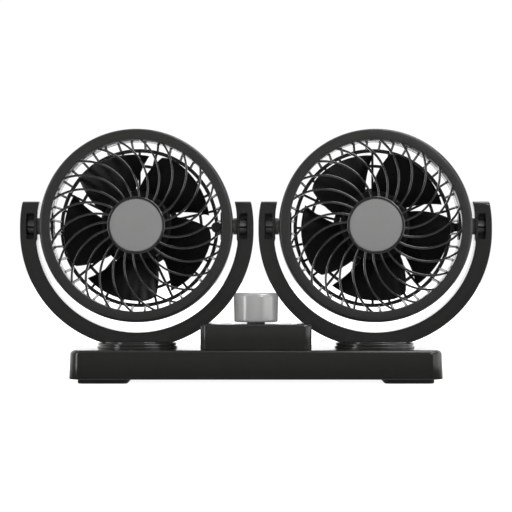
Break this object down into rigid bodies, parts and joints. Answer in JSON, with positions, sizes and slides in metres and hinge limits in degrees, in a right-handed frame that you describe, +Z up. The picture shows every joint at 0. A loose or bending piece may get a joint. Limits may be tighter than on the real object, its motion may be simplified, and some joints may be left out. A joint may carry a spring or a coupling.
{
  "type": "dual head car fan",
  "caption": "Dashboard fan with a pair of grilled fan heads that tilt in U-shaped yokes, swivel on a long flat base and share a rotary speed knob.",
  "frame": {"origin": "middle of the base on the surface that the foot pads rest on", "axes": "+X along the base to the right as seen from the front, +Y to the back, +Z up"},
  "size_m": [0.2756, 0.075, 0.147],
  "materials": {
    "charcoal_plastic": "satin moulded ABS",
    "gloss_black_plastic": "polished moulded ABS",
    "blade_plastic": "polished polypropylene",
    "badge_grey": "satin grey disc",
    "knob_grey": "grey moulded plastic",
    "zinc_steel": "zinc plated",
    "magnet_ferrite": "ferrite",
    "bush_bronze": "sintered bronze",
    "winding_copper": "laminated core with copper winding",
    "endcap_plastic": "nylon",
    "pad_rubber": "soft rubber",
    "board_green": "glass epoxy",
    "resistor_ceramic": "cement"
  },
  "bodies": {
    "base": {"base_shell": "gloss_black_plastic", "base_cover": "charcoal_plastic", "cover_screws": "zinc_steel", "left_foot_pad": "pad_rubber", "right_foot_pad": "pad_rubber", "control_box": "gloss_black_plastic", "box_screws": "zinc_steel", "rotary_switch": "endcap_plastic", "switch_nut": "zinc_steel", "circuit_board": "board_green", "board_screws": "zinc_steel", "speed_resistor": "resistor_ceramic", "lead_grommet": "pad_rubber"},
    "left_head": {"left_front_grille": "charcoal_plastic", "left_hub_badge": "badge_grey", "left_rear_grille": "charcoal_plastic", "left_grille_screws": "zinc_steel", "left_motor_can": "zinc_steel", "left_motor_magnets": "magnet_ferrite", "left_motor_endcap": "endcap_plastic", "left_motor_bushes": "bush_bronze", "left_motor_screws": "zinc_steel", "left_outer_trunnion": "charcoal_plastic", "left_inner_trunnion": "charcoal_plastic"},
    "left_rotor": {"left_impeller": "blade_plastic", "left_motor_shaft": "zinc_steel", "left_armature": "winding_copper"},
    "left_yoke": {"left_yoke": "charcoal_plastic", "left_turntable": "gloss_black_plastic", "left_swivel_washer": "zinc_steel", "left_swivel_screw": "zinc_steel", "left_yoke_screws": "zinc_steel"},
    "right_head": {"right_front_grille": "charcoal_plastic", "right_hub_badge": "badge_grey", "right_rear_grille": "charcoal_plastic", "right_grille_screws": "zinc_steel", "right_motor_can": "zinc_steel", "right_motor_magnets": "magnet_ferrite", "right_motor_endcap": "endcap_plastic", "right_motor_bushes": "bush_bronze", "right_motor_screws": "zinc_steel", "right_outer_trunnion": "charcoal_plastic", "right_inner_trunnion": "charcoal_plastic"},
    "right_rotor": {"right_impeller": "blade_plastic", "right_motor_shaft": "zinc_steel", "right_armature": "winding_copper"},
    "right_yoke": {"right_yoke": "charcoal_plastic", "right_turntable": "gloss_black_plastic", "right_swivel_washer": "zinc_steel", "right_swivel_screw": "zinc_steel", "right_yoke_screws": "zinc_steel"},
    "knob": {"speed_knob": "knob_grey", "switch_shaft": "zinc_steel"}
  },
  "joints": [
    {"name": "left_swivel", "type": "hinge", "parent": "base", "child": "left_yoke", "pos_m": [-0.0696, 0, 0.0192], "axis": [0, 0, 1], "range_deg": [-180, 180]},
    {"name": "left_tilt", "type": "hinge", "parent": "left_yoke", "child": "left_head", "pos_m": [-0.0696, 0, 0.0903], "axis": [1, 0, 0], "range_deg": [-90, 90]},
    {"name": "left_spin", "type": "hinge", "parent": "left_head", "child": "left_rotor", "pos_m": [-0.0696, 0, 0.0903], "axis": [0, 0.9995, -0.0332], "continuous": true},
    {"name": "right_swivel", "type": "hinge", "parent": "base", "child": "right_yoke", "pos_m": [0.0696, 0, 0.0192], "axis": [0, 0, 1], "range_deg": [-180, 180]},
    {"name": "right_tilt", "type": "hinge", "parent": "right_yoke", "child": "right_head", "pos_m": [0.0696, 0, 0.0903], "axis": [1, 0, 0], "range_deg": [-90, 90]},
    {"name": "right_spin", "type": "hinge", "parent": "right_head", "child": "right_rotor", "pos_m": [0.0696, 0, 0.0903], "axis": [0, 0.9995, -0.0332], "continuous": true},
    {"name": "knob_turn", "type": "hinge", "parent": "base", "child": "knob", "pos_m": [0, -0.014, 0.0348], "axis": [0, 0, -1], "range_deg": [0, 180]}
  ]
}
